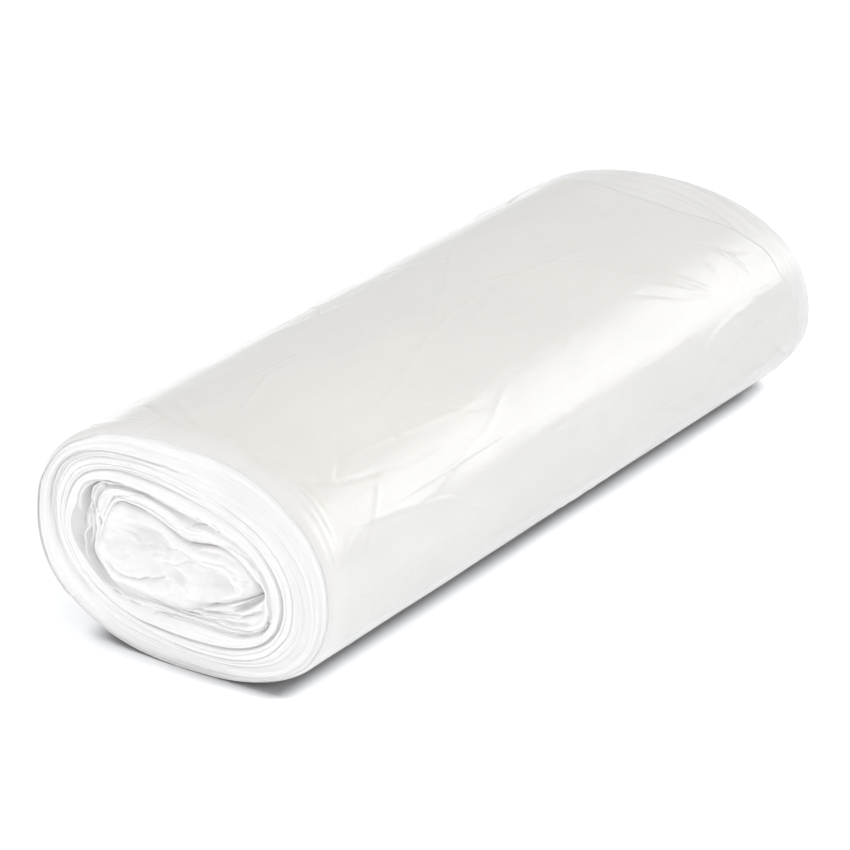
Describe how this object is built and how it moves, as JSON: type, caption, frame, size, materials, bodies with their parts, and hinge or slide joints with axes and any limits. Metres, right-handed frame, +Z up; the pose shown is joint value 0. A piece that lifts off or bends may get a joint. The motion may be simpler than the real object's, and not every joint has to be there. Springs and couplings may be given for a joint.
{
  "type": "bin bag roll",
  "caption": "Coreless roll of plastic-film bin bags, squashed oval with a flat underside, wound turn edges and a puffed, loosely folded heart at its ends.",
  "frame": {"origin": "centre of the bounding box in X and Y, on the flat underside that the roll lies on", "axes": "+X along the roll from the end seen in the picture to the far end, +Z up, +Y towards the back"},
  "size_m": [0.2894, 0.1086, 0.0735],
  "materials": {
    "film": "milky natural-white translucent film, soft satin sheen, finely creased"
  },
  "bodies": {
    "root": {"bag_roll": "film"}
  },
  "joints": []
}
